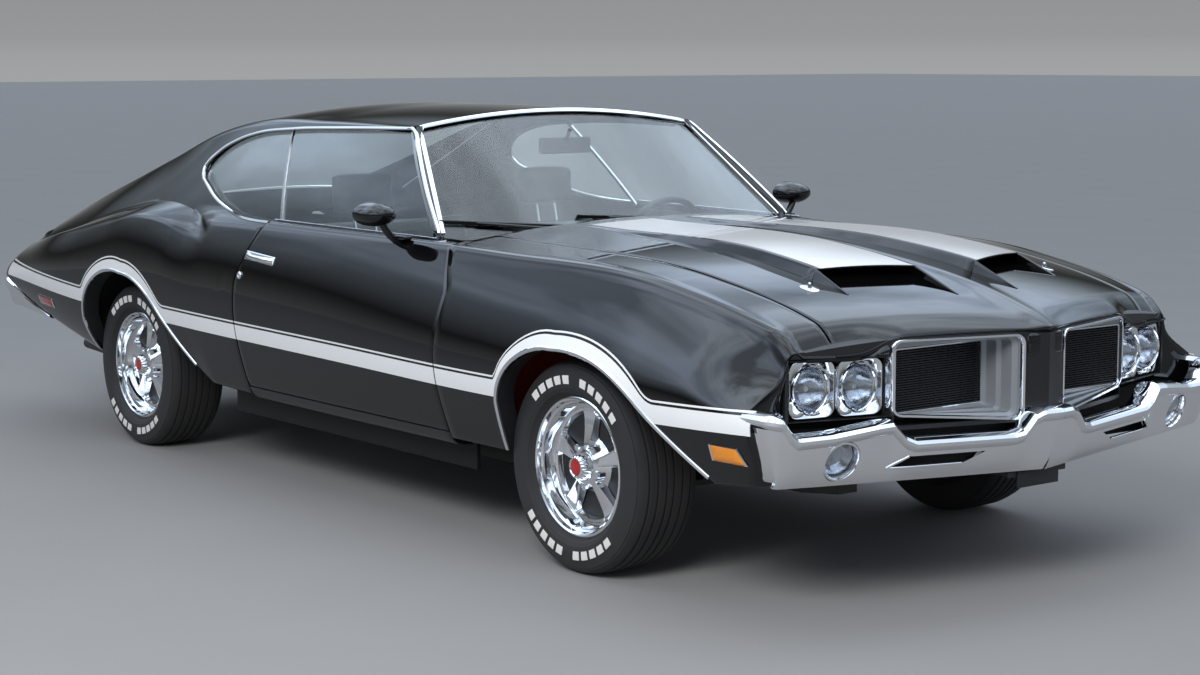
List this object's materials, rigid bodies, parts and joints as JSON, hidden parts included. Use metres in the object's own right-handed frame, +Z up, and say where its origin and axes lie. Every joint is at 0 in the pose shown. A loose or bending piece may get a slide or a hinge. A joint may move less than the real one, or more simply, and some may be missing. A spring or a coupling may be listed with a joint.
{
  "type": "two-door hardtop muscle car",
  "caption": "Two-door hardtop muscle car with opening doors, hood and deck lid, steered front wheels and free-turning wheels.",
  "frame": {"origin": "on the ground at mid length and mid width", "axes": "+X forward, +Y to the car's left, +Z up"},
  "size_m": [5.171, 1.944, 1.3472],
  "materials": {
    "body_paint": "high gloss clear coat",
    "chrome": "polished",
    "satin_black": "satin",
    "argent": "fine silver paint",
    "glass": "clear, light tint",
    "lamp_glass": "fluted",
    "red_lens": "moulded",
    "tyre": "matte",
    "black_vinyl": "grained",
    "black_plastic": "moulded",
    "frame_black": "dull chassis paint",
    "cast_iron": "rough cast",
    "engine_paint": "enamel",
    "bare_steel": "dull"
  },
  "bodies": {
    "root": {"fender_right": "body_paint", "fender_left": "body_paint", "nose_panel": "body_paint", "cowl": "body_paint", "quarter_right": "body_paint", "quarter_left": "body_paint", "rear_shelf": "body_paint", "tail_panel": "body_paint", "tail_lamps": "red_lens", "roof": "body_paint", "windshield": "glass", "rear_window": "glass", "quarter_glass": "glass", "headlamps": "lamp_glass", "headlamp_bezels": "chrome", "grilles": "argent", "front_bumper": "chrome", "bumper_lamps": "lamp_glass", "rear_bumper": "chrome", "floor_pan": "satin_black", "chassis_frame": "frame_black", "engine_block": "engine_paint", "driveline": "bare_steel", "rear_axle": "cast_iron", "fuel_tank": "bare_steel", "exhaust": "bare_steel", "front_arms": "frame_black", "front_seats": "black_vinyl", "rear_seat": "black_vinyl", "dashboard": "black_plastic", "steering_wheel": "black_plastic"},
    "door_right": {"door_right": "body_paint", "door_glass_right": "glass", "mirror_right": "body_paint"},
    "door_left": {"door_left": "body_paint", "door_glass_left": "glass", "mirror_left": "body_paint"},
    "hood": {"hood": "body_paint"},
    "deck_lid": {"deck_lid": "body_paint"},
    "knuckle_left": {"knuckle_left": "cast_iron"},
    "knuckle_right": {"knuckle_right": "cast_iron"},
    "wheel_front_left": {"tyre_front_left": "tyre", "rim_front_left": "chrome"},
    "wheel_front_right": {"tyre_front_right": "tyre", "rim_front_right": "chrome"},
    "wheel_rear_left": {"tyre_rear_left": "tyre", "rim_rear_left": "chrome"},
    "wheel_rear_right": {"tyre_rear_right": "tyre", "rim_rear_right": "chrome"}
  },
  "joints": [
    {"name": "door_right_hinge", "type": "hinge", "parent": "root", "child": "door_right", "pos_m": [0.86525, -0.9635, 0.6], "axis": [0, 0, 1], "range_deg": [0, 65]},
    {"name": "door_left_hinge", "type": "hinge", "parent": "root", "child": "door_left", "pos_m": [0.86525, 0.9635, 0.6], "axis": [0, 0, -1], "range_deg": [0, 65]},
    {"name": "hood_hinge", "type": "hinge", "parent": "root", "child": "hood", "pos_m": [0.776, 0, 0.99], "axis": [0, -1, 0], "range_deg": [0, 45]},
    {"name": "deck_lid_hinge", "type": "hinge", "parent": "root", "child": "deck_lid", "pos_m": [-1.727, 0, 0.965], "axis": [0, 1, 0], "range_deg": [0, 60]},
    {"name": "steer_right", "type": "hinge", "parent": "root", "child": "knuckle_right", "pos_m": [1.475, -0.668, 0.32], "axis": [0, 0, 1], "range_deg": [-33, 33]},
    {"name": "steer_left", "type": "hinge", "parent": "root", "child": "knuckle_left", "pos_m": [1.475, 0.668, 0.32], "axis": [0, 0, 1], "range_deg": [-33, 33]},
    {"name": "spin_front_right", "type": "hinge", "parent": "knuckle_right", "child": "wheel_front_right", "pos_m": [1.475, -0.758, 0.32], "axis": [0, 1, 0], "continuous": true},
    {"name": "spin_front_left", "type": "hinge", "parent": "knuckle_left", "child": "wheel_front_left", "pos_m": [1.475, 0.758, 0.32], "axis": [0, 1, 0], "continuous": true},
    {"name": "spin_rear_right", "type": "hinge", "parent": "root", "child": "wheel_rear_right", "pos_m": [-1.37, -0.7495, 0.32], "axis": [0, 1, 0], "continuous": true},
    {"name": "spin_rear_left", "type": "hinge", "parent": "root", "child": "wheel_rear_left", "pos_m": [-1.37, 0.7495, 0.32], "axis": [0, 1, 0], "continuous": true}
  ],
  "couplings": [
    {"joint": "steer_left", "follows": "steer_right", "ratio": 1}
  ]
}
